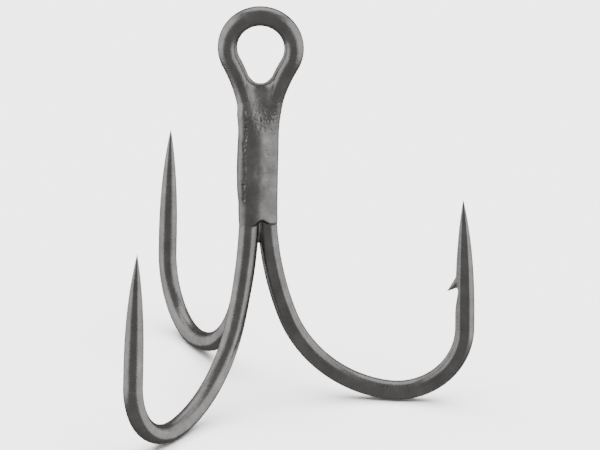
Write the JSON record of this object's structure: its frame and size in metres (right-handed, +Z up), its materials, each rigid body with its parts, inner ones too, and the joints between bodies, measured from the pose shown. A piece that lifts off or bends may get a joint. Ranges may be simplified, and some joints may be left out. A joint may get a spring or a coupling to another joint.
{
  "type": "treble hook",
  "caption": "Treble fishing hook: a bent double-hook wire with a line eye and a single hook brazed into the groove of its shank; three round-bend points, one of them barbed.",
  "frame": {"origin": "centre of the line eye", "axes": "+Z up the shank towards the eye; the eye and the barbed hook lie in the XZ plane, the barbed hook opening towards +X; the single brazed-on hook opens towards -X +Y and the plain hook of the double wire towards -X -Y"},
  "size_m": [0.0275, 0.032, 0.0337],
  "materials": {
    "plated_wire": "dark nickel plate, semi-bright, forged flats finely grained",
    "plated_braze": "dark nickel plate over filler metal, rough and pitted"
  },
  "bodies": {
    "root": {"double_hook_wire": "plated_wire", "single_hook_wire": "plated_wire", "shank_braze": "plated_braze"}
  },
  "joints": []
}
